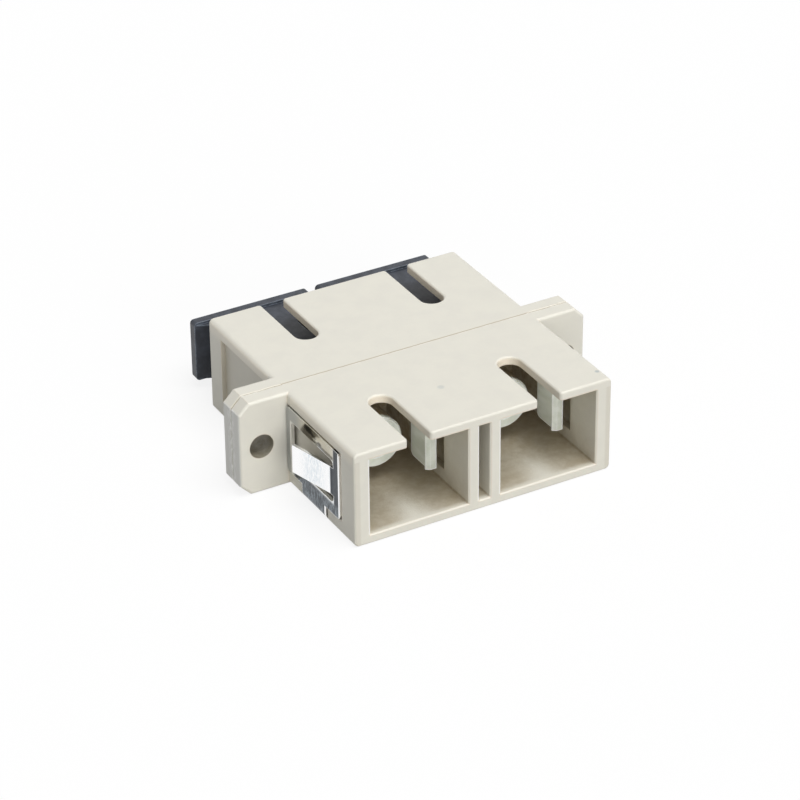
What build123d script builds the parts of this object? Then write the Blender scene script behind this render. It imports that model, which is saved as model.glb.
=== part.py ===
from build123d import *
import os

os.makedirs("parts", exist_ok=True)

# Duplex fibre optic adapter with a panel flange, in millimetres.
# X runs along the flange, -Y is the open end, +Y the capped end, +Z the side with the keyways.
# The origin is the middle of the plane in which the two housing halves are welded together.

# Ports
port_width = 9.5
port_height = 7.45
port_lead_in = 0.12

# Walls are the sum of what is cut into them and the skin that is left
clip_thickness = 0.3
clip_clearance = 0.05
clip_inset = 0.05
pocket_depth = 0.6
side_skin = 0.5
centre_skin = 0.475
floor_skin = 0.48
roof_wall = 0.77
centre_gap = 1.05
centre_web = 2.9

# Housing half
half_length = 13.3
long_edge_radius = 0.45
mouth_edge_radius = 0.2
flange_reach = 4.65
flange_half = 1.5
flange_corner = 1.0
flange_edge_radius = 0.25
seam_chamfer = 0.12
screw_bore = 2.25
screw_edge = 2.1
key_width = 2.2
key_length = 7.6
key_mouth_radius = 0.3

# Split sleeve
sleeve_length = 11.4
sleeve_bore = 2.5
sleeve_wall = 0.35
sleeve_slit = 0.55
sleeve_chamfer = 0.1

# Latch moulding
sleeve_clearance = 0.1
sleeve_end_gap = 0.05
tube_wall = 0.7
tube_lip = 0.3
tube_mouth = 2.9
tube_chamfer = 0.15
base_thickness = 1.15
base_corner = 0.4
base_depth_gap = 0.05
seat_clearance = 0.1
arm_play = 0.55
arm_thickness = 0.6
arm_height = 3.0
hook_depth = 0.35
hook_length = 2.7
hook_height = 4.2
hook_corner = 0.45
hook_reach = 8.8
tip_length = 0.4
tip_height = 4.8
tip_slope = 0.35
tip_lead = 0.25
pocket_overrun = 0.35

# Recess for the clip: a panel in each side wall and a channel under the body
recess_front_land = 2.3
recess_roof = 1.03
recess_sill = 1.42
band_start = 2.6
band_width = 4.4

# Spring clip
clip_bend = 0.35
clip_edge_gap = 0.08
clip_stand = 0.15
clip_corner = 0.4
window_height = 4.15
window_drop = 0.03
window_front_strip = 1.05
window_rear_strip = 0.85
window_radius = 0.45
finger_height = 2.7
finger_flat = 0.45
finger_run = 4.7
finger_rise = 1.2
finger_bend = 3.0

# Dust cap
cap_floor_gap = 0.07
cap_side_play = 0.2
cap_height = 5.5
cap_wall = 0.6
cap_hook_gap = 0.4
cap_edge_radius = 0.3
neck_length = 0.55
plate_gap = 3.7
plate_thickness = 1.0
plate_width = 11.8
plate_rise = 0.2
plate_corner = 0.35
plate_chamfer = 0.12
slit_spacing = 5.3
slit_width = 0.3
slit_length = 1.95
slit_cover = 0.1

# Sizes that follow
recess_depth = clip_inset + clip_thickness + clip_clearance
side_wall = recess_depth + side_skin + pocket_depth
centre_wall = pocket_depth + centre_skin
port_floor = recess_depth + floor_skin
port_pitch = port_width + 2 * centre_wall + centre_gap
port_x = port_pitch / 2
body_width = port_pitch + port_width + 2 * side_wall
body_height = port_height + roof_wall + port_floor
body_top = body_height / 2
port_bottom = port_floor - body_top
port_middle = port_bottom + port_height / 2
flange_width = body_width + 2 * flange_reach
screw_x = flange_width / 2 - screw_edge
pocket_width = port_width + 2 * pocket_depth
pocket_height = tip_height + 2 * seat_clearance
pocket_length = hook_reach + pocket_overrun
base_recess = base_thickness + base_depth_gap
sleeve_outer = sleeve_bore + 2 * sleeve_wall
tube_bore = sleeve_outer + 2 * sleeve_clearance
tube_outer = tube_bore + 2 * tube_wall
tube_reach = sleeve_length / 2 + sleeve_end_gap + tube_lip
recess_front = half_length - recess_front_land
recess_top = body_top - recess_roof
recess_bottom = recess_sill - body_top
band_rear = flange_half + band_start
band_front = band_rear + band_width


def recess_outline(inset):
    """Side view of the clip recess: the wide panel and the band that runs down from it."""
    low = -body_top - body_height
    return (
        (-recess_front + inset, recess_top - inset),
        (-flange_half - inset, recess_top - inset),
        (-flange_half - inset, recess_bottom + inset),
        (-band_rear - inset, recess_bottom + inset),
        (-band_rear - inset, low),
        (-band_front + inset, low),
        (-band_front + inset, recess_bottom + inset),
        (-recess_front + inset, recess_bottom + inset),
    )


# Space cut for the clip: everything outside the core that the clip is folded round
with BuildPart() as clip_recess:
    with BuildSketch(Plane.YZ):
        with BuildLine():
            Polyline(*recess_outline(0), close=True)
        make_face()
    extrude(amount=body_width, both=True)
    core_floor = recess_depth - body_top
    with BuildSketch(Plane.XZ):
        with Locations((0, core_floor)):
            Rectangle(body_width - 2 * recess_depth, 2 * body_height, align=(Align.CENTER, Align.MIN))
        fillet(vertices().group_by(Axis.Y)[0], clip_bend)
    extrude(amount=half_length, mode=Mode.SUBTRACT)

# Front housing half, open end towards -Y
with BuildPart() as front_housing:
    # Half of the panel flange, with its share of the weld seam
    with BuildSketch(Plane.XZ):
        Rectangle(flange_width, body_height)
        chamfer(vertices(), flange_corner)
    extrude(amount=flange_half)
    fillet(faces().sort_by(Axis.Y)[0].edges(), flange_edge_radius)
    chamfer(faces().sort_by(Axis.Y)[-1].edges(), seam_chamfer)

    # Body
    with BuildSketch(Plane.XZ):
        Rectangle(body_width, body_height)
        fillet(vertices(), long_edge_radius)
    extrude(amount=half_length)

    # Ports, the seats of the latch bases and the pockets that the hooks flex into
    with BuildSketch(Plane.XZ):
        with Locations((-port_x, port_middle), (port_x, port_middle)):
            Rectangle(port_width, port_height)
    extrude(amount=half_length, mode=Mode.SUBTRACT)
    with BuildSketch(Plane.XZ):
        with Locations((-port_x, port_middle), (port_x, port_middle)):
            Rectangle(pocket_width, port_height)
    extrude(amount=base_recess, mode=Mode.SUBTRACT)
    with BuildSketch(Plane.XZ):
        with Locations((-port_x, port_middle), (port_x, port_middle)):
            Rectangle(pocket_width, pocket_height)
    extrude(amount=pocket_length, mode=Mode.SUBTRACT)

    # Coring gap between the two port walls
    with BuildSketch(Plane.XZ.offset(centre_web)):
        with Locations((0, port_middle)):
            Rectangle(centre_gap, port_height)
    extrude(amount=half_length - centre_web, mode=Mode.SUBTRACT)

    # Keyways: the strip in front of the face lets the mouth corners be rounded
    with BuildSketch(Plane.XY.offset(body_top)):
        with Locations((-port_x, -half_length), (port_x, -half_length)):
            SlotOverall(2 * key_length, key_width, rotation=90)
        with Locations((0, -half_length)):
            Rectangle(2 * body_width, body_height, align=(Align.CENTER, Align.MAX))
        fillet(vertices().group_by(Axis.Y)[1], key_mouth_radius)
    extrude(amount=-roof_wall, mode=Mode.SUBTRACT)

    # Rounded outer edges of the mouth and the keyways, small lead-in at the ports
    mouth_edges = faces().sort_by(Axis.Y)[0].edges()
    key_edges = edges().filter_by_position(Axis.Z, body_top, body_top)
    key_edges = key_edges.filter_by_position(Axis.Y, -half_length, -flange_half - key_width)
    rim_edges = mouth_edges.filter_by(
        lambda edge: abs(edge.center().X) > body_width / 2 - long_edge_radius
        or abs(edge.center().Z) > body_top - mouth_edge_radius / 2
    )
    fillet(key_edges + rim_edges, mouth_edge_radius)
    lead_edges = faces().sort_by(Axis.Y)[0].edges().filter_by(
        lambda edge: abs(edge.center().X) < port_x + port_width / 2 + port_lead_in
        and port_bottom - port_lead_in < edge.center().Z < port_middle + port_lead_in
    )
    chamfer(lead_edges, port_lead_in)

    # Screw holes
    with BuildSketch(Plane.XZ):
        with Locations((-screw_x, 0), (screw_x, 0)):
            Circle(screw_bore / 2)
    extrude(amount=flange_half, mode=Mode.SUBTRACT)

    add(clip_recess.part, mode=Mode.SUBTRACT)

# Rear housing half, the same moulding turned round
with BuildPart() as rear_housing:
    mirror(front_housing.part, about=Plane.XZ)

# Spring clip, one folded sheet: a band under the body and a windowed panel on each side
clip_half_width = body_width / 2 + clip_stand
clip_floor = clip_inset - body_top
with BuildPart() as spring_clip:
    with BuildSketch(Plane.XZ):
        with Locations((0, clip_floor)):
            Rectangle(2 * clip_half_width, 2 * body_height, align=(Align.CENTER, Align.MIN))
        fillet(vertices().group_by(Axis.Y)[0], clip_bend + clip_clearance + clip_thickness)
        with BuildSketch(Plane.XZ, mode=Mode.SUBTRACT):
            with Locations((0, clip_floor + clip_thickness)):
                Rectangle(
                    2 * (clip_half_width - clip_thickness),
                    2 * body_height,
                    align=(Align.CENTER, Align.MIN),
                )
            fillet(vertices().group_by(Axis.Y)[0], clip_bend + clip_clearance)
    extrude(amount=half_length)
    with BuildSketch(Plane.YZ):
        with BuildLine():
            Polyline(*recess_outline(clip_edge_gap), close=True)
        make_face()
        panel_ends = vertices().group_by(Axis.X)
        fillet(panel_ends[0] + panel_ends[-1], clip_corner)
    extrude(amount=body_width, both=True, mode=Mode.INTERSECT)

    # Windows
    window_front = recess_front - clip_edge_gap - window_front_strip
    window_rear = flange_half + clip_edge_gap + window_rear_strip
    window_middle = (recess_top + recess_bottom) / 2 - window_drop
    with BuildSketch(Plane.YZ):
        with Locations((-(window_front + window_rear) / 2, window_middle)):
            RectangleRounded(window_front - window_rear, window_height, window_radius)
    extrude(amount=body_width, both=True, mode=Mode.SUBTRACT)

    # Spring fingers that grip the panel, bent outwards towards the flange
    finger_x = clip_half_width - clip_thickness
    with BuildSketch(Plane.XY.offset(window_middle)):
        with BuildLine():
            finger_inside = FilletPolyline(
                (finger_x, -window_front - window_front_strip / 2),
                (finger_x, -window_front + finger_flat),
                (finger_x + finger_rise, -window_front + finger_flat + finger_run),
                radius=finger_bend,
            )
            offset(finger_inside, amount=clip_thickness, side=Side.RIGHT)
        make_face()
        mirror(about=Plane.YZ)
    extrude(amount=finger_height / 2, both=True)

# Split sleeve that lines up the two ferrules, about its own axis
with BuildPart() as sleeve:
    with BuildSketch(Plane.XZ):
        Circle(sleeve_outer / 2)
        Circle(sleeve_bore / 2, mode=Mode.SUBTRACT)
        with Locations((0, sleeve_outer / 2)):
            Rectangle(sleeve_slit, sleeve_outer, mode=Mode.SUBTRACT)
    extrude(amount=sleeve_length / 2, both=True)
    bore_ends = edges().filter_by(GeomType.CIRCLE).sort_by(SortBy.RADIUS)[:2]
    chamfer(bore_ends, sleeve_chamfer)

# Latch arm with its hook, on the +X side of the ferrule axis
arm_outer = port_width / 2 - arm_play
arm_inner = arm_outer - arm_thickness
hook_face = arm_inner - hook_depth
hook_rear = hook_reach - hook_length
with BuildPart() as latch_arm:
    with BuildSketch(Plane.XY):
        with BuildLine():
            Polyline(
                (arm_outer, 0),
                (arm_outer, -hook_reach),
                (hook_face + tip_slope, -hook_reach),
                (hook_face, -hook_reach + tip_lead),
                (hook_face, -hook_rear),
                (arm_inner, -hook_rear),
                (arm_inner, 0),
                close=True,
            )
        make_face()
    extrude(amount=tip_height / 2, both=True)
    with BuildSketch(Plane.YZ):
        with Locations((-hook_rear / 2, 0)):
            Rectangle(hook_rear, arm_height)
        with Locations((-hook_rear - hook_length / 2, 0)):
            Rectangle(hook_length, hook_height)
        with Locations((-hook_reach + tip_length / 2, 0)):
            Rectangle(tip_length, tip_height)
        step_corners = vertices().group_by(Axis.X)[-2].sort_by(Axis.Y)
        fillet((step_corners[0], step_corners[-1]), hook_corner)
    extrude(amount=port_width, both=True, mode=Mode.INTERSECT)

# Latch moulding: seat plate, holder tube for half of the sleeve, two arms
with BuildPart() as latch:
    with BuildSketch(Plane.XZ):
        RectangleRounded(pocket_width - 2 * seat_clearance, port_height - 2 * seat_clearance, base_corner)
    extrude(amount=base_thickness)
    with BuildSketch(Plane.XZ):
        Circle(tube_outer / 2)
    extrude(amount=tube_reach)
    chamfer(faces().sort_by(Axis.Y)[0].edges(), tube_chamfer)
    add(latch_arm.part)
    mirror(latch_arm.part, about=Plane.YZ)
    with BuildSketch(Plane.XZ):
        Circle(tube_bore / 2)
    extrude(amount=tube_reach - tube_lip, mode=Mode.SUBTRACT)
    with BuildSketch(Plane.XZ):
        Circle(tube_mouth / 2)
    extrude(amount=tube_reach, mode=Mode.SUBTRACT)

# Dust cap about its own middle: hollow plug, flared neck and pull plate
cap_half_width = port_width / 2 - cap_side_play
cap_front = hook_reach + cap_hook_gap
plate_front = half_length + plate_gap
neck_front = plate_front - neck_length
with BuildPart() as dust_cap:
    with BuildSketch(Plane.XY):
        with BuildLine():
            Polyline(
                (-cap_half_width, cap_front),
                (cap_half_width, cap_front),
                (cap_half_width, neck_front),
                (plate_width / 2, plate_front),
                (-plate_width / 2, plate_front),
                (-cap_half_width, neck_front),
                close=True,
            )
        make_face()
    extrude(amount=cap_height / 2, both=True)
    long_edges = edges().filter_by(Axis.Y)
    fillet(long_edges, cap_edge_radius)
    with BuildSketch(Plane.XZ.offset(-cap_front)):
        Rectangle(2 * (cap_half_width - cap_wall), cap_height - 2 * cap_wall)
    extrude(amount=cap_front - plate_front, mode=Mode.SUBTRACT)

    # Two slits in one broad side of the plug
    slit_rear = half_length - slit_cover
    with BuildSketch(Plane.XY.offset(cap_height / 2)):
        with Locations((-slit_spacing / 2, slit_rear), (slit_spacing / 2, slit_rear)):
            Rectangle(slit_width, slit_length, align=(Align.CENTER, Align.MAX))
    extrude(amount=-cap_wall, mode=Mode.SUBTRACT)

    # Pull plate
    with BuildSketch(Plane.XZ.offset(-plate_front)):
        RectangleRounded(plate_width, cap_height + 2 * plate_rise, plate_corner)
    extrude(amount=-plate_thickness)
    chamfer(faces().sort_by(Axis.Y)[-1].edges(), plate_chamfer)

front_housing.part.label = "front_housing"
export_step(front_housing.part, "parts/front_housing.step")
rear_housing.part.label = "rear_housing"
export_step(rear_housing.part, "parts/rear_housing.step")
spring_clip.part.label = "spring_clip"
export_step(spring_clip.part, "parts/spring_clip.step")

# One sleeve, two latch mouldings and one cap for each port, the right cap pushed in upside down
cap_middle = port_bottom + cap_floor_gap + cap_height / 2
for side, place_x, cap_turn in (("left", -port_x, 0), ("right", port_x, 180)):
    with BuildPart() as split_sleeve:
        with Locations((place_x, 0, port_middle)):
            add(sleeve.part)
    split_sleeve.part.label = f"split_sleeve_{side}"
    export_step(split_sleeve.part, f"parts/split_sleeve_{side}.step")

    with BuildPart() as latch_front:
        with Locations((place_x, 0, port_middle)):
            add(latch.part)
    latch_front.part.label = f"latch_front_{side}"
    export_step(latch_front.part, f"parts/latch_front_{side}.step")

    with BuildPart() as latch_rear:
        mirror(latch_front.part, about=Plane.XZ)
    latch_rear.part.label = f"latch_rear_{side}"
    export_step(latch_rear.part, f"parts/latch_rear_{side}.step")

    with BuildPart() as port_cap:
        with Locations(Location((place_x, 0, cap_middle), (0, cap_turn, 0))):
            add(dust_cap.part)
    port_cap.part.label = f"dust_cap_{side}"
    export_step(port_cap.part, f"parts/dust_cap_{side}.step")
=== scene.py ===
import math

import bpy
from mathutils import Matrix, Vector


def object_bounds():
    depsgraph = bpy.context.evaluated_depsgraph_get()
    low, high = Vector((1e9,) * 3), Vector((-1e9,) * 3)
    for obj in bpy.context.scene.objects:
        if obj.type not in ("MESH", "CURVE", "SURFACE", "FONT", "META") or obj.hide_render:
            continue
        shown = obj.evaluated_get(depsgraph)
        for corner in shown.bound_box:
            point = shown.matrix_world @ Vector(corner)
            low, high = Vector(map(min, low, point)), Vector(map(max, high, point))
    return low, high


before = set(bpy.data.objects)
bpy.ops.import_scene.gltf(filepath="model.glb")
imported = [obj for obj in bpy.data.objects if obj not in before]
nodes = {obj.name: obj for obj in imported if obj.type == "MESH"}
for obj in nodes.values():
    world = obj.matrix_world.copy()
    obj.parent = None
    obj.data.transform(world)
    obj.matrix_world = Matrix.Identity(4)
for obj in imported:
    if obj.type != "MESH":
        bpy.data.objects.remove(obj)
cadLow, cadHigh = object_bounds()
mm = 0.001
print("adapter loaded:", len(nodes), "pieces")


# shader maths, a value or colour in a node tree

class Signal:
    def __init__(self, shop, socket):
        self.shop = shop
        self.socket = socket

    def maths(self, operation, *values):
        return self.shop.node("ShaderNodeMath", {"operation": operation}, values)

    def __add__(self, other):
        return self.maths("ADD", self, other)

    def __radd__(self, other):
        return self.maths("ADD", other, self)

    def __sub__(self, other):
        return self.maths("SUBTRACT", self, other)

    def __rsub__(self, other):
        return self.maths("SUBTRACT", other, self)

    def __mul__(self, other):
        return self.maths("MULTIPLY", self, other)

    def __rmul__(self, other):
        return self.maths("MULTIPLY", other, self)

    def __abs__(self):
        return self.maths("ABSOLUTE", self)

    def root(self):
        return self.maths("SQRT", self)

    def least(self, other):
        return self.maths("MINIMUM", self, other)

    def most(self, other):
        return self.maths("MAXIMUM", self, other)

    # 0 at start, 1 at end, soft in between
    def rise(self, start, end):
        return self.shop.node(
            "ShaderNodeMapRange",
            {"interpolation_type": "SMOOTHSTEP"},
            {"Value": self, "From Min": start, "From Max": end},
        )

    # 1 at start, 0 at end, soft in between
    def fall(self, start, end):
        return 1 - self.rise(start, end)

    # 1 in the band round the middle, 0 outside it
    def band(self, middle, halfWidth, soft):
        return abs(self - middle).fall(halfWidth - soft, halfWidth + soft)

    # noise as a swing to both sides of 0
    def swing(self, width):
        return (self - 0.5) * width


# node tree of a material or of the world
class Shop:
    def __init__(self, tree):
        self.tree = tree

    # any node, with one output or a tuple of several
    def node(self, kind, settings=None, inputs=(), output=0):
        made = self.tree.nodes.new(kind)
        for name, value in (settings or {}).items():
            setattr(made, name, value)
        pairs = inputs.items() if isinstance(inputs, dict) else enumerate(inputs)
        for name, value in pairs:
            socket = made.inputs[name]
            if isinstance(value, Signal):
                self.tree.links.new(value.socket, socket)
            else:
                socket.default_value = value
        if isinstance(output, tuple):
            return [Signal(self, made.outputs[name]) for name in output]
        return Signal(self, made.outputs[output]) if made.outputs else None

    def colour(self, share, first, second):
        return self.node("ShaderNodeMix", {"data_type": "RGBA"}, {0: share, 6: first, 7: second}, 2)

    # cloud pattern, drawn out where it has a stretch, and turned into a mask where it has a range
    def noise(self, place, pattern):
        if "stretch" in pattern:
            stretch = pattern["stretch"]
            place = self.node("ShaderNodeVectorMath", {"operation": "MULTIPLY"}, [place, stretch])
        cloud = self.node("ShaderNodeTexNoise", {}, {
            "Vector": place,
            "Scale": pattern["scale"],
            "Detail": pattern["detail"],
            "Roughness": pattern["roughness"],
        })
        return cloud.rise(*pattern["range"]) if "range" in pattern else cloud

    def parts(self, place):
        return self.node("ShaderNodeSeparateXYZ", {}, [place], ("X", "Y", "Z"))

    def distance(self, place, mark):
        return self.node("ShaderNodeVectorMath", {"operation": "DISTANCE"}, [place, mark], "Value")

    def bump(self, height, depth):
        return self.node("ShaderNodeBump", {}, {"Height": height, "Distance": depth * mm, "Strength": 1.0})


# colour as it is read off a screen, 0 to 255, made linear
def paint(red, green, blue):
    def linear(level):
        level = level / 255
        return level / 12.92 if level <= 0.04045 else ((level + 0.055) / 1.055) ** 2.4
    return (linear(red), linear(green), linear(blue), 1.0)


# place on the object in millimetres
def millimetres(shop):
    place = shop.node("ShaderNodeTexCoord", output="Object")
    return shop.node("ShaderNodeVectorMath", {"operation": "SCALE"}, {0: place, "Scale": 1 / mm})


# rays that feel for edges and corners, and the turn of the surface that makes a full edge
probe = {"samples": 8, "edgeTurn": 0.12}


# 1 on rounded and sharp edges, 0 on flats
def edgeMask(shop, reach):
    rounded = shop.node("ShaderNodeBevel", {"samples": probe["samples"]}, {"Radius": reach * mm})
    flat = shop.node("ShaderNodeNewGeometry", output="Normal")
    sameness = shop.node("ShaderNodeVectorMath", {"operation": "DOT_PRODUCT"}, [rounded, flat], "Value")
    return (1 - sameness).rise(0.0, probe["edgeTurn"])


# 1 in the open, towards 0 in corners and holes
def exposure(shop, reach):
    settings = {"samples": probe["samples"]}
    return shop.node("ShaderNodeAmbientOcclusion", settings, {"Distance": reach * mm}, "AO")


def newFinish(name):
    material = bpy.data.materials.new(name)
    material.use_nodes = True
    material.node_tree.nodes.clear()
    return material, Shop(material.node_tree)


def closeFinish(material, shop, sockets):
    shade = shop.node("ShaderNodeBsdfPrincipled", {}, sockets)
    shop.node("ShaderNodeOutputMaterial", {}, {"Surface": shade})
    return material


def wear(material, *names):
    for name in names:
        slots = nodes[name].data.materials
        slots.clear()
        slots.append(material)


# housing halves, beige moulded plastic

# places in millimetres from the adapter's middle
flangeEnd = cadHigh[0] / mm
mouthEnd = -cadLow[1] / mm
bodyTop = cadHigh[2] / mm
bodySide = 12.6
flangeFace = 1.5
portBottom = -3.67
portTop = 3.78

# a Band is its middle, half width and softness, a Line its half width and softness,
# and any other pair is where a tone starts and ends
housing = {
    "beige": paint(230, 227, 215),
    "cloudy": paint(226, 223, 212),
    "cloud": {"scale": 0.5, "detail": 4.0, "roughness": 0.6, "range": (0.3, 0.75)},

    "paintedRimGlow": paint(229, 215, 197),
    "edgeReach": 0.35,
    "edgeShare": 0.4,
    "mouthShare": 0.35,
    "mouth": (mouthEnd - 0.6, mouthEnd - 0.2),

    "paintedShade": paint(158, 142, 112),
    "mottle": {"scale": 1.1, "detail": 4.0, "roughness": 0.65, "range": (0.3, 0.7)},
    "cornerReach": 5.0,
    "cornerShare": 0.6,
    "cornerMottle": 0.3,
    "outsideShare": 0.12,
    "portSide": (bodySide - 0.65, bodySide - 0.45),
    "betweenPorts": (0.6, 0.7),
    "lid": (portTop - 0.06, portTop + 0.04),
    "sunk": (mouthEnd - 0.12, mouthEnd - 0.04),
    "spared": 0.85,
    "paintedKeywayLight": paint(255, 242, 220),
    "lidShade": (0.1, 0.3),
    "recessFace": (bodySide - 0.1, bodySide - 0.05),
    "recessShare": 0.16,
    "portFloor": (portBottom + 0.05, portBottom + 0.25),
    "floorShade": (0.98, 0.85),
    "floorEnd": (mouthEnd - 0.8, mouthEnd - 0.2),
    "floorShare": 0.5,
    "floorMottle": 0.2,

    "paintedBoreShade": paint(112, 106, 86),
    "screwX": 15.15,
    "screwRadius": 1.1,
    "boreSoft": 0.2,
    "boreShare": 0.65,
    "boreMottle": 0.3,

    "litRim": paint(246, 240, 225),
    "rimBandX": (bodySide - 0.1, 0.3, 0.1),
    "rimFoot": (bodyTop - 1.65, bodyTop - 0.45),
    "rimTop": (bodyTop - 0.3, bodyTop - 0.05),
    "rimRear": (flangeFace + 0.4, flangeFace + 0.6),
    "rimFront": (mouthEnd - 0.4, mouthEnd - 0.1),

    "leadInHighlight": paint(255, 255, 252),
    "leadInHighlightAt": (-11.16, -0.58, 1.54),
    "leadInHighlightLineX": (0.11, 0.03),
    "leadInHighlightBandZ": (0.055, 3.7, 0.05),

    "seam": paint(158, 144, 110),
    "seamLineY": (0.05, 0.03),
    "seamShare": 0.7,
    "wander": {"scale": 1.7, "detail": 3.0, "roughness": 0.5},
    "wanderWidth": 0.08,
    "ridgeGlint": paint(250, 248, 240),
    "ridgeAt": -0.13,
    "ridgeBreaks": {"scale": 1.4, "detail": 3.0, "roughness": 0.5, "range": (0.4, 0.6)},
    "ridgeLoss": 0.5,

    "litFlangeEnd": paint(220, 221, 218),
    "flangeTip": (flangeEnd - 0.12, flangeEnd - 0.02),
    "endShare": 0.7,
    "weld": paint(250, 250, 247),
    "weldWidth": (0.35, 0.8),
    "weldStreaks": {
        "stretch": (1.0, 5.0, 0.7), "scale": 2.2, "detail": 4.0, "roughness": 0.65, "range": (0.48, 0.57),
    },

    "speck": paint(140, 158, 166),
    "speckCore": 0.4,
    "specks": (
        {"at": (12.07, -11.75, bodyTop), "size": 0.28, "share": 0.5},
        {"at": (-0.82, -7.28, bodyTop), "size": 0.42, "share": 0.25},
    ),

    "roughness": 0.4,
    "ior": 1.46,
    "grain": {"scale": 9.0, "detail": 3.0, "roughness": 0.6},
    "fineGrain": {"scale": 45.0, "detail": 2.0, "roughness": 0.5},
    "heights": {"grain": 0.7, "fine": 0.3, "weld": 1.5},
    "dulling": {"grain": 0.12, "weld": 0.2},
    "grainDepth": 0.004,
}


def housingFinish():
    material, shop = newFinish("beigeHousing")
    place = millimetres(shop)
    x, y, z = shop.parts(place)
    base = shop.colour(shop.noise(place, housing["cloud"]), housing["beige"], housing["cloudy"])

    # painted warm light: the rims, where the plastic is narrow, are tinted warm as if lit through, most at
    # the mouths
    atMouth = abs(y).rise(*housing["mouth"])
    rimGlow = edgeMask(shop, housing["edgeReach"]) * (housing["edgeShare"] + atMouth * housing["mouthShare"])
    base = shop.colour(rimGlow, base, housing["paintedRimGlow"])

    # painted shade: ports, holes and corners are darkened brown where light reaches less, broken up by a
    # mottle
    exposed = exposure(shop, housing["cornerReach"])
    mottle = shop.noise(place, housing["mottle"])
    fromScrew = abs(x) - housing["screwX"]
    boreEdge = housing["screwRadius"] ** 2
    bore = (fromScrew * fromScrew + z * z).fall(boreEdge, boreEdge + housing["boreSoft"])
    inside = abs(x).fall(*housing["portSide"]).most(bore)
    lid = z.rise(*housing["lid"])
    spared = abs(x).fall(*housing["betweenPorts"]).most(lid) * housing["spared"]
    sunk = inside * abs(y).fall(*housing["sunk"])
    corner = (1 - exposed) * (housing["cornerShare"] + mottle * housing["cornerMottle"]) * (1 - spared)
    corner = corner * (housing["outsideShare"] + sunk * (1 - housing["outsideShare"]))
    base = shop.colour(corner, base, housing["paintedShade"])

    # painted light on the walls of the keyways, warm and brightest where they are most hemmed in; painted
    # shade in the clip's recess and on the ports' floors
    paintedKeywayLight = lid * inside * (1 - exposed).rise(*housing["lidShade"])
    base = shop.colour(paintedKeywayLight, base, housing["paintedKeywayLight"])
    recess = abs(x).fall(*housing["recessFace"]) * (1 - inside) * (1 - lid)
    base = shop.colour(recess * housing["recessShare"], base, housing["paintedShade"])
    portFloor = z.fall(*housing["portFloor"]) * exposed.rise(*housing["floorShade"])
    portFloor = portFloor * inside * abs(y).fall(*housing["floorEnd"])
    portFloor = portFloor * (housing["floorShare"] + mottle * housing["floorMottle"])
    base = shop.colour(portFloor, base, housing["paintedShade"])
    # painted shade deep in the screw bores
    boreShade = bore * (housing["boreShare"] + mottle * housing["boreMottle"])
    base = shop.colour(boreShade, base, housing["paintedBoreShade"])

    # painted light: the walls are lightest along their upper rims
    upperRimLight = abs(x).band(*housing["rimBandX"]) * z.rise(*housing["rimFoot"]) * z.fall(*housing["rimTop"])
    upperRimLight = upperRimLight * abs(y).rise(*housing["rimRear"]) * abs(y).fall(*housing["rimFront"])
    base = shop.colour(upperRimLight, base, housing["litRim"])

    # painted highlights: fine white lines down the lead-ins of the ports
    for edgeX in housing["leadInHighlightAt"]:
        line = x.band(edgeX, *housing["leadInHighlightLineX"]) * z.band(*housing["leadInHighlightBandZ"]) * atMouth
        base = shop.colour(line, base, housing["leadInHighlight"])

    # seam between the halves, with a broken ridge of flash along the top that carries a painted highlight
    nearSeam = y + shop.noise(place, housing["wander"]).swing(housing["wanderWidth"])
    seam = nearSeam.band(0.0, *housing["seamLineY"]) * (1 - bore)
    base = shop.colour(seam * housing["seamShare"], base, housing["seam"])
    ridgeGlint = nearSeam.band(housing["ridgeAt"], *housing["seamLineY"])
    ridgeGlint = ridgeGlint * shop.noise(place, housing["ridgeBreaks"]) * lid * (1 - inside * housing["ridgeLoss"])
    base = shop.colour(ridgeGlint, base, housing["ridgeGlint"])

    # painted light: the ends of the flange are lighter and greyer; on them weld marks of whitened flash,
    # painted whiter still as glints
    atEnd = abs(x).rise(*housing["flangeTip"])
    base = shop.colour(atEnd * housing["endShare"], base, housing["litFlangeEnd"])
    welded = shop.noise(place, housing["weldStreaks"]) * atEnd * abs(y).fall(*housing["weldWidth"])
    base = shop.colour(welded, base, housing["weld"])

    # a few specks on the top
    for speck in housing["specks"]:
        spot = shop.distance(place, speck["at"]).fall(speck["size"] * housing["speckCore"], speck["size"])
        base = shop.colour(spot * speck["share"], base, housing["speck"])

    grain = shop.noise(place, housing["grain"])
    fine = shop.noise(place, housing["fineGrain"])
    heights = housing["heights"]
    dulling = housing["dulling"]
    height = grain * heights["grain"] + fine * heights["fine"] + welded * heights["weld"]
    return closeFinish(material, shop, {
        "Base Color": base,
        "Roughness": housing["roughness"] + grain.swing(dulling["grain"]) + welded * dulling["weld"],
        "Normal": shop.bump(height, housing["grainDepth"]),
        "IOR": housing["ior"],
    })


wear(housingFinish(), "front_housing", "rear_housing")
print("housing halves finished")


# latch mouldings, natural translucent plastic

tubeEnd = 5.7

latch = {
    "pale": paint(232, 236, 228),
    "shadow": paint(214, 219, 207),
    "flow": {
        "stretch": (1.0, 0.35, 1.0), "scale": 0.9, "detail": 3.0, "roughness": 0.5, "range": (0.35, 0.7),
    },
    "latchEdgeHighlight": paint(252, 254, 252),
    "edgeReach": 0.3,

    "paintedShade": paint(138, 122, 94),
    "behind": (tubeEnd - 0.3, tubeEnd - 0.1),
    "behindShare": 0.75,
    "blotch": {"scale": 1.3, "detail": 4.0, "roughness": 0.65, "range": (0.35, 0.65)},
    "blotchShare": 0.2,
    "cornerReach": 4.0,
    "cornerShare": 0.05,

    "roughness": 0.33,
    "dulling": 0.1,
    "grain": {"scale": 8.0, "detail": 3.0, "roughness": 0.5},
    "grainDepth": 0.003,
    "glow": 0.25,
    "glowDepth": 0.6,
    "glowTone": (1.0, 1.0, 0.8),
    "paintedGlow": 0.03,
}


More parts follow.
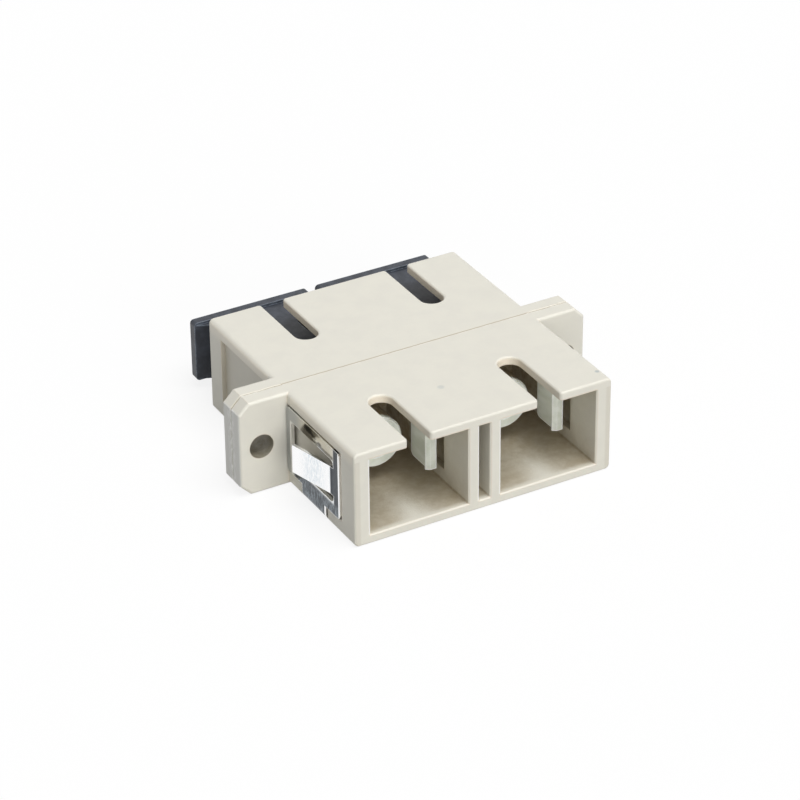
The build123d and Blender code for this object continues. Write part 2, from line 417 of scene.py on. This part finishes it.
def latchFinish():
    material, shop = newFinish("naturalLatch")
    place = millimetres(shop)
    along = abs(shop.parts(place)[1])
    base = shop.colour(shop.noise(place, latch["flow"]), latch["pale"], latch["shadow"])
    # painted highlights along the latch's edges
    base = shop.colour(edgeMask(shop, latch["edgeReach"]), base, latch["latchEdgeHighlight"])

    # painted shade: behind the hooks and in its corners the latch is darkened to the brown of the shaded
    # port round it
    corner = (1 - exposure(shop, latch["cornerReach"])) * latch["cornerShare"]
    blotch = shop.noise(place, latch["blotch"]) * latch["blotchShare"]
    behind = along.fall(*latch["behind"]) * (latch["behindShare"] + blotch)
    base = shop.colour(corner + behind, base, latch["paintedShade"])
    grain = shop.noise(place, latch["grain"])
    return closeFinish(material, shop, {
        "Base Color": base,
        "Roughness": latch["roughness"] + grain.swing(latch["dulling"]),
        "Normal": shop.bump(grain, latch["grainDepth"]),
        "Subsurface Weight": latch["glow"],
        "Subsurface Radius": latch["glowTone"],
        "Subsurface Scale": latch["glowDepth"] * mm,
        # a faint painted glow stands in for light let through the plastic
        "Emission Color": base,
        "Emission Strength": latch["paintedGlow"],
    })


wear(latchFinish(), "latch_front_left", "latch_front_right", "latch_rear_left", "latch_rear_right")
print("latches finished")


# spring clip, bright rolled sheet

sheetFace = 12.75
sheetFront = 10.92
bandFront = 8.42
fingerRoot = 9.42
windowRear = 2.43
windowFront = 9.87
windowFloor = -1.91
windowTop = 2.24

clip = {
    "bright": paint(252, 252, 252),
    "blued": paint(212, 222, 229),
    "bluedShare": 0.4,
    "smear": {"stretch": (1.0, 1.3, 0.5), "scale": 1.1, "detail": 4.0, "roughness": 0.6},
    "smearRange": (0.35, 0.7),

    "floorReflection": paint(46, 52, 58),
    "floorReflectionStreak": paint(128, 136, 142),
    "streakNoise": {"stretch": (1.0, 2.2, 0.8), "scale": 2.4, "detail": 5.0, "roughness": 0.7},
    "streakRange": (0.38, 0.68),
    "frontStreaks": 0.12,
    "fingerRoot": (fingerRoot - 0.1, fingerRoot + 0.05),
    "fingerBandZ": (0.165, 1.38, 0.05),
    "frontStrip": (windowFront - 0.1, windowFront + 0.15),
    "lowerStrip": (windowFloor - 0.3, windowFloor + 0.1),
    "lowerFrom": (windowRear + 0.1, windowRear + 0.6),

    "beigeTint": paint(202, 197, 184),
    "greyTint": paint(163, 166, 167),
    "tintShare": 0.85,
    "upperStrip": (windowTop - 0.15, windowTop + 0.15),
    "rearStrip": (windowRear - 0.25, windowRear - 0.1),
    "greyEnd": (windowRear + 0.6, windowRear + 2.6),

    "darkReflection": paint(78, 76, 70),
    "reflectionShare": 0.85,
    "reflectionSquash": 0.5,
    "reflectionCore": 0.5,
    "reflectionWander": 0.5,
    "darkReflections": (
        {"y": 5.6, "z": 3.1, "size": 0.42},
        {"y": 6.5, "z": 2.85, "size": 0.3},
        {"y": 7.6, "z": 2.65, "size": 0.22},
    ),
    "edgeReflectionBandZ": (2.42, 0.17, 0.08),
    "edgeReflectionFrom": (5.4, 6.2),
    "edgeReflectionWander": 0.25,
    "edgeReflectionShare": 0.8,

    "cutEdgeHighlight": paint(255, 255, 255),
    "glintBandY": (windowRear - 0.16, 0.08, 0.05),
    "glintBandZ": (0.4, 1.7, 0.3),
    "finger": (sheetFace + 0.02, sheetFace + 0.12),
    "patchBandY": (7.4, 1.2, 0.8),
    "patchRange": (0.3, 0.7),
    "patchShare": 0.8,
    "edgeReach": 0.09,
    "frontRim": (sheetFront - 0.26, sheetFront - 0.18),
    "underRimBandY": (bandFront - 0.12, 0.12, 0.03),
    "underRimTop": (-3.15, -3.0),

    "roughness": 0.13,
    "dulling": 0.14,
    "rolling": {"stretch": (1.0, 0.12, 1.0), "scale": 14.0, "detail": 3.0, "roughness": 0.6},
    "rollingDepth": 0.0012,
}


def clipFinish():
    material, shop = newFinish("springSteel")
    place = millimetres(shop)
    x, y, z = shop.parts(place)
    along = abs(y)
    smear = shop.noise(place, clip["smear"])
    streakNoise = shop.noise(place, clip["streakNoise"])
    bluing = smear.rise(*clip["smearRange"]) * clip["bluedShare"]
    base = shop.colour(bluing, clip["bright"], clip["blued"])

    # painted reflection: the strips in front of the window and below it are darkened with light streaks, as
    # if mirroring a shadowed floor
    atRoot = along.rise(*clip["fingerRoot"]) * z.band(*clip["fingerBandZ"])
    front = along.rise(*clip["frontStrip"]).most(atRoot)
    below = z.fall(*clip["lowerStrip"]) * along.rise(*clip["lowerFrom"])
    streaking = streakNoise.rise(*clip["streakRange"]) * (clip["frontStreaks"] + below * (1 - clip["frontStreaks"]))
    stripReflection = shop.colour(streaking, clip["floorReflection"], clip["floorReflectionStreak"])
    base = shop.colour(front.most(below), base, stripReflection)

    # painted reflection: those above it and behind it are tinted as if mirroring the beige flange, greyer
    # towards the rear
    above = z.rise(*clip["upperStrip"]) * (1 - front)
    rear = along.fall(*clip["rearStrip"])
    tint = shop.colour(along.fall(*clip["greyEnd"]), clip["beigeTint"], clip["greyTint"])
    base = shop.colour(above.most(rear) * clip["tintShare"], base, tint)

    # painted reflection: darkened spots where the sheet mirrors the flange's screw hole, and a darkened
    # line over the window
    for darkReflection in clip["darkReflections"]:
        across = (along - darkReflection["y"]) * clip["reflectionSquash"]
        upward = z - darkReflection["z"]
        away = (across * across + upward * upward).root() + smear.swing(clip["reflectionWander"])
        spot = away.fall(darkReflection["size"] * clip["reflectionCore"], darkReflection["size"]) * above * clip["reflectionShare"]
        base = shop.colour(spot, base, clip["darkReflection"])
    edgeReflection = (z + smear.swing(clip["edgeReflectionWander"])).band(*clip["edgeReflectionBandZ"])
    edgeReflection = edgeReflection * along.rise(*clip["edgeReflectionFrom"]) * above
    base = shop.colour(edgeReflection * clip["edgeReflectionShare"], base, clip["darkReflection"])

    # the window's rear edge catches the light
    glint = along.band(*clip["glintBandY"]) * z.band(*clip["glintBandZ"])
    base = shop.colour(glint, base, clip["cutEdgeHighlight"])

    # the finger stands out into the light
    patch = along.band(*clip["patchBandY"]) * streakNoise.rise(*clip["patchRange"]) * clip["patchShare"]
    fingerTone = shop.colour(patch, clip["bright"], clip["blued"])
    base = shop.colour(abs(x).rise(*clip["finger"]), base, fingerTone)

    # painted highlights on the rims that were cut and tumbled, widest along the front
    underRim = along.band(*clip["underRimBandY"]) * z.fall(*clip["underRimTop"])
    rims = edgeMask(shop, clip["edgeReach"]).most(along.rise(*clip["frontRim"])).most(underRim)
    base = shop.colour(rims, base, clip["cutEdgeHighlight"])
    rolling = shop.noise(place, clip["rolling"])
    return closeFinish(material, shop, {
        "Base Color": base,
        "Metallic": 1.0,
        "Roughness": clip["roughness"] + rolling.swing(clip["dulling"]),
        "Normal": shop.bump(rolling, clip["rollingDepth"]),
    })


wear(clipFinish(), "spring_clip")
print("spring clip finished")


# split sleeves, ground ceramic

sleeve = {
    "white": paint(240, 240, 234),
    "cloudy": paint(231, 230, 222),
    "grinding": {"stretch": (0.15, 1.0, 0.15), "scale": 12.0, "detail": 2.0, "roughness": 0.5},
    "grindingDepth": 0.001,
    "roughness": 0.18,
    "dulling": 0.1,
}


def sleeveFinish():
    material, shop = newFinish("groundCeramic")
    rings = shop.noise(millimetres(shop), sleeve["grinding"])
    return closeFinish(material, shop, {
        "Base Color": shop.colour(rings, sleeve["white"], sleeve["cloudy"]),
        "Roughness": sleeve["roughness"] + rings.swing(sleeve["dulling"]),
        "Normal": shop.bump(rings, sleeve["grindingDepth"]),
    })


wear(sleeveFinish(), "split_sleeve_left", "split_sleeve_right")
print("sleeves finished")


# dust caps, dark soft plastic

cap = {
    "slate": paint(51, 55, 63),
    "faded": paint(70, 75, 85),
    "cloud": {"scale": 1.1, "detail": 4.0, "roughness": 0.5, "range": (0.35, 0.7)},
    "capEdgeHighlight": paint(142, 152, 166),
    "edgeReach": 0.26,
    "capHighlight": {"scale": 2.2, "detail": 5.0, "roughness": 0.7, "range": (0.38, 0.58)},
    "highlightLeast": 0.45,
    "highlightShare": 0.8,
    "paintedShade": paint(34, 32, 30),
    "cornerReach": 4.0,
    "cornerShare": 0.5,
    "roughness": 0.38,
    "ior": 1.36,
    "dulling": 0.15,
    "grain": {"scale": 10.0, "detail": 3.0, "roughness": 0.6},
    "grainDepth": 0.009,
}


def capFinish():
    material, shop = newFinish("slateCap")
    place = millimetres(shop)
    base = shop.colour(shop.noise(place, cap["cloud"]), cap["slate"], cap["faded"])
    # painted highlights along the cap's edges, broken up by noise
    capHighlight = cap["highlightLeast"] + shop.noise(place, cap["capHighlight"]) * (1 - cap["highlightLeast"])
    capHighlight = edgeMask(shop, cap["edgeReach"]) * capHighlight
    base = shop.colour(capHighlight * cap["highlightShare"], base, cap["capEdgeHighlight"])
    # painted shade in corners and hollows
    corner = (1 - exposure(shop, cap["cornerReach"])) * cap["cornerShare"]
    base = shop.colour(corner, base, cap["paintedShade"])
    grain = shop.noise(place, cap["grain"])
    return closeFinish(material, shop, {
        "Base Color": base,
        "Roughness": cap["roughness"] + grain.swing(cap["dulling"]),
        "IOR": cap["ior"],
        "Normal": shop.bump(grain, cap["grainDepth"]),
    })


wear(capFinish(), "dust_cap_left", "dust_cap_right")
print("dust caps finished")


# floor, lamps and camera, in millimetres and degrees

studio = {
    "floorSize": 3000.0,
    "floorGap": 0.01,
    "floorSeen": paint(255, 255, 255),
    "floorBounce": paint(174, 174, 172),
    "shadowLift": 0.85,
    "white": (1.0, 1.0, 1.0, 1.0),
    "ambient": 0.3,
    "key": {"strength": 1.98, "spread": 40, "from": (0.15, -0.3, 1.0)},
    "fill": {"strength": 1.5, "spread": 40, "from": (-0.12, -1.0, 0.15)},
}
view = {
    "place": (-124.89, -222.11, 151.47),
    "turn": 29.202,
    "tilt": 30.849,
    "roll": -0.561,
    "lens": 152.39,
    "sensor": 36.0,
    "near": 10.0,
}


# 1 for what the camera sees, also in gloss and through glass
def plainly(shop):
    rays = ("Is Camera Ray", "Is Glossy Ray", "Is Transmission Ray")
    camera, gloss, glass = shop.node("ShaderNodeLightPath", output=rays)
    return (camera + gloss + glass).least(1.0)


def layFloor():
    half = studio["floorSize"] / 2 * mm
    low = cadLow[2] - studio["floorGap"] * mm
    mesh = bpy.data.meshes.new("floor")
    corners = [(-half, -half, low), (half, -half, low), (half, half, low), (-half, half, low)]
    mesh.from_pydata(corners, [], [(0, 1, 2, 3)])
    floor = bpy.data.objects.new("floor", mesh)
    bpy.context.scene.collection.objects.link(floor)
    material, shop = newFinish("paleFloor")
    seen = plainly(shop)
    tone = shop.colour(seen, studio["floorBounce"], studio["floorSeen"])
    lit = shop.node("ShaderNodeBsdfDiffuse", {}, {"Color": tone})
    glow = shop.node("ShaderNodeEmission", {}, {"Color": studio["white"], "Strength": 1.0})
    paper = shop.node("ShaderNodeMixShader", {}, {0: seen * studio["shadowLift"], 1: lit, 2: glow})
    shop.node("ShaderNodeOutputMaterial", {}, {"Surface": paper})
    mesh.materials.append(material)


def lightWorld():
    world = bpy.data.worlds.new("studio")
    bpy.context.scene.world = world
    world.use_nodes = True
    world.node_tree.nodes.clear()
    shop = Shop(world.node_tree)
    strength = studio["ambient"] + plainly(shop) * (1 - studio["ambient"])
    glow = shop.node("ShaderNodeBackground", {}, {"Color": studio["white"], "Strength": strength})
    shop.node("ShaderNodeOutputWorld", {}, {"Surface": glow})


def hangLamp(name):
    lamp = bpy.data.lights.new(name + "Lamp", "SUN")
    lamp.energy = studio[name]["strength"]
    lamp.angle = math.radians(studio[name]["spread"])
    hung = bpy.data.objects.new(name + "Lamp", lamp)
    bpy.context.scene.collection.objects.link(hung)
    hung.rotation_euler = Vector(studio[name]["from"]).to_track_quat("Z", "Y").to_euler()


# looks along +Y, then turned towards +X and tilted down
def setCamera():
    turn = math.radians(view["turn"])
    tilt = math.radians(view["tilt"])
    roll = math.radians(view["roll"])
    ahead = Vector((math.sin(turn) * math.cos(tilt), math.cos(turn) * math.cos(tilt), -math.sin(tilt)))
    level = Vector((math.cos(turn), -math.sin(turn), 0.0))
    upright = level.cross(ahead)
    right = math.cos(roll) * level + math.sin(roll) * upright
    up = math.cos(roll) * upright - math.sin(roll) * level
    lens = bpy.data.cameras.new("camera")
    lens.lens = view["lens"]
    lens.sensor_width = view["sensor"]
    lens.clip_start = view["near"] * mm
    camera = bpy.data.objects.new("camera", lens)
    bpy.context.scene.collection.objects.link(camera)
    turned = Matrix((right, up, -ahead)).transposed().to_4x4()
    camera.matrix_world = Matrix.Translation(Vector(view["place"]) * mm) @ turned
    bpy.context.scene.camera = camera


layFloor()
lightWorld()
hangLamp("key")
hangLamp("fill")
setCamera()
bpy.context.scene.view_settings.view_transform = "Standard"
print("studio set")
